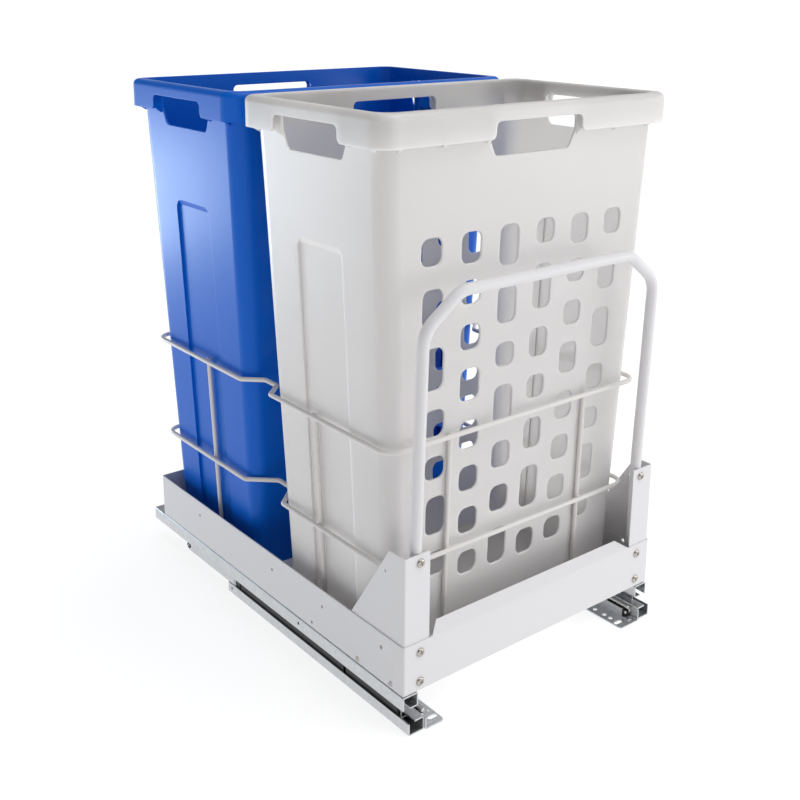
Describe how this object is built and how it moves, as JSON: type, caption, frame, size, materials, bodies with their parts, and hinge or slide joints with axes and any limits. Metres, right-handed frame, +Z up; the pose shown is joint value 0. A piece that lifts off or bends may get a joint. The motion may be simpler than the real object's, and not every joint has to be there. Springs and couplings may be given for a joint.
{
  "type": "pull-out double laundry basket",
  "caption": "Pull-out laundry unit: white steel tray with U handle and guard wires on synchronised roller slides, carrying a white and a blue lift-out basket.",
  "frame": {"origin": "centre of the footprint, on the cabinet floor under the feet", "axes": "+Z up; the tray pulls out toward -Y, where the handle is; +X to the right as seen from the front"},
  "size_m": [0.39, 0.534, 0.6014],
  "materials": {
    "white_powder_coat": "smooth white powder coat, low sheen",
    "white_coated_wire": "thick white coating on wire, soft gloss",
    "zinc_screw": "bright zinc-plated screw steel",
    "galvanised_steel": "galvanised cold-rolled sheet",
    "bright_steel": "turned bright steel",
    "black_plastic": "moulded black nylon",
    "black_rubber": "matte black rubber",
    "white_basket_plastic": "white injection-moulded plastic, satin",
    "blue_basket_plastic": "bright blue injection-moulded plastic, satin"
  },
  "bodies": {
    "cabinet_side": {"left_cabinet_rail": "galvanised_steel", "right_cabinet_rail": "galvanised_steel", "left_foot_bracket": "galvanised_steel", "right_foot_bracket": "galvanised_steel", "foot_rivets": "bright_steel", "left_cabinet_rack": "black_plastic", "right_cabinet_rack": "black_plastic", "left_front_guide": "black_plastic", "right_front_guide": "black_plastic", "left_rear_stop": "black_plastic", "right_rear_stop": "black_plastic", "left_soft_close_unit": "black_plastic", "right_soft_close_unit": "black_plastic", "left_unit_cover": "galvanised_steel", "right_unit_cover": "galvanised_steel", "left_damper_rods": "bright_steel", "right_damper_rods": "bright_steel"},
    "tray_carriage": {"tray": "white_powder_coat", "left_corner_bracket": "white_powder_coat", "right_corner_bracket": "white_powder_coat", "handle": "white_powder_coat", "handle_screws": "zinc_screw", "front_wall_screws": "zinc_screw", "bracket_side_screws": "zinc_screw", "upper_guard_ring": "white_coated_wire", "lower_guard_ring": "white_coated_wire", "guard_uprights": "white_coated_wire", "left_tray_rail": "galvanised_steel", "right_tray_rail": "galvanised_steel", "tray_rail_rivets": "bright_steel", "left_tray_rack": "black_plastic", "right_tray_rack": "black_plastic", "left_catch_pin": "galvanised_steel", "right_catch_pin": "galvanised_steel"},
    "white_basket": {"white_basket": "white_basket_plastic"},
    "blue_basket": {"blue_basket": "blue_basket_plastic"},
    "left_middle_rail": {"left_intermediate_rail": "galvanised_steel", "left_pinion_axle": "bright_steel", "left_end_bumper": "black_rubber", "left_bumper_pin": "bright_steel"},
    "left_upper_cage": {"left_upper_cage": "black_plastic", "left_upper_rollers": "bright_steel"},
    "left_lower_cage": {"left_lower_cage": "black_plastic", "left_lower_rollers": "bright_steel"},
    "left_pinion": {"left_pinion": "black_plastic"},
    "left_catch": {"left_catch": "black_plastic"},
    "right_middle_rail": {"right_intermediate_rail": "galvanised_steel", "right_pinion_axle": "bright_steel", "right_end_bumper": "black_rubber", "right_bumper_pin": "bright_steel"},
    "right_upper_cage": {"right_upper_cage": "black_plastic", "right_upper_rollers": "bright_steel"},
    "right_lower_cage": {"right_lower_cage": "black_plastic", "right_lower_rollers": "bright_steel"},
    "right_pinion": {"right_pinion": "black_plastic"},
    "right_catch": {"right_catch": "black_plastic"}
  },
  "joints": [
    {"name": "tray_slide", "type": "slide", "parent": "cabinet_side", "child": "tray_carriage", "axis": [0, -1, 0], "range_m": [0, 0.4]},
    {"name": "left_middle_slide", "type": "slide", "parent": "cabinet_side", "child": "left_middle_rail", "axis": [0, -1, 0], "range_m": [0, 0.2]},
    {"name": "left_upper_cage_slide", "type": "slide", "parent": "cabinet_side", "child": "left_upper_cage", "axis": [0, -1, 0], "range_m": [0, 0.3]},
    {"name": "left_lower_cage_slide", "type": "slide", "parent": "cabinet_side", "child": "left_lower_cage", "axis": [0, -1, 0], "range_m": [0, 0.1]},
    {"name": "left_pinion_spin", "type": "hinge", "parent": "left_middle_rail", "child": "left_pinion", "pos_m": [-0.17682, 0.05, 0.0246], "axis": [1, 0, 0], "range_deg": [0, 2729]},
    {"name": "left_catch_slide", "type": "slide", "parent": "cabinet_side", "child": "left_catch", "axis": [0, -1, 0], "range_m": [0, 0.06]},
    {"name": "right_middle_slide", "type": "slide", "parent": "cabinet_side", "child": "right_middle_rail", "axis": [0, -1, 0], "range_m": [0, 0.2]},
    {"name": "right_upper_cage_slide", "type": "slide", "parent": "cabinet_side", "child": "right_upper_cage", "axis": [0, -1, 0], "range_m": [0, 0.3]},
    {"name": "right_lower_cage_slide", "type": "slide", "parent": "cabinet_side", "child": "right_lower_cage", "axis": [0, -1, 0], "range_m": [0, 0.1]},
    {"name": "right_pinion_spin", "type": "hinge", "parent": "right_middle_rail", "child": "right_pinion", "pos_m": [0.17682, 0.05, 0.0246], "axis": [1, 0, 0], "range_deg": [0, 2729]},
    {"name": "right_catch_slide", "type": "slide", "parent": "cabinet_side", "child": "right_catch", "axis": [0, -1, 0], "range_m": [0, 0.06]},
    {"name": "white_basket_lift", "type": "slide", "parent": "tray_carriage", "child": "white_basket", "axis": [0, 0, 1], "range_m": [0, 0.62]},
    {"name": "blue_basket_lift", "type": "slide", "parent": "tray_carriage", "child": "blue_basket", "axis": [0, 0, 1], "range_m": [0, 0.62]}
  ],
  "couplings": [
    {"joint": "left_middle_slide", "follows": "tray_slide", "ratio": 0.5},
    {"joint": "left_upper_cage_slide", "follows": "tray_slide", "ratio": 0.75},
    {"joint": "left_lower_cage_slide", "follows": "tray_slide", "ratio": 0.25},
    {"joint": "left_pinion_spin", "follows": "tray_slide", "rad_per_m": 119.05},
    {"joint": "right_middle_slide", "follows": "tray_slide", "ratio": 0.5},
    {"joint": "right_upper_cage_slide", "follows": "tray_slide", "ratio": 0.75},
    {"joint": "right_lower_cage_slide", "follows": "tray_slide", "ratio": 0.25},
    {"joint": "right_pinion_spin", "follows": "tray_slide", "rad_per_m": 119.05}
  ]
}
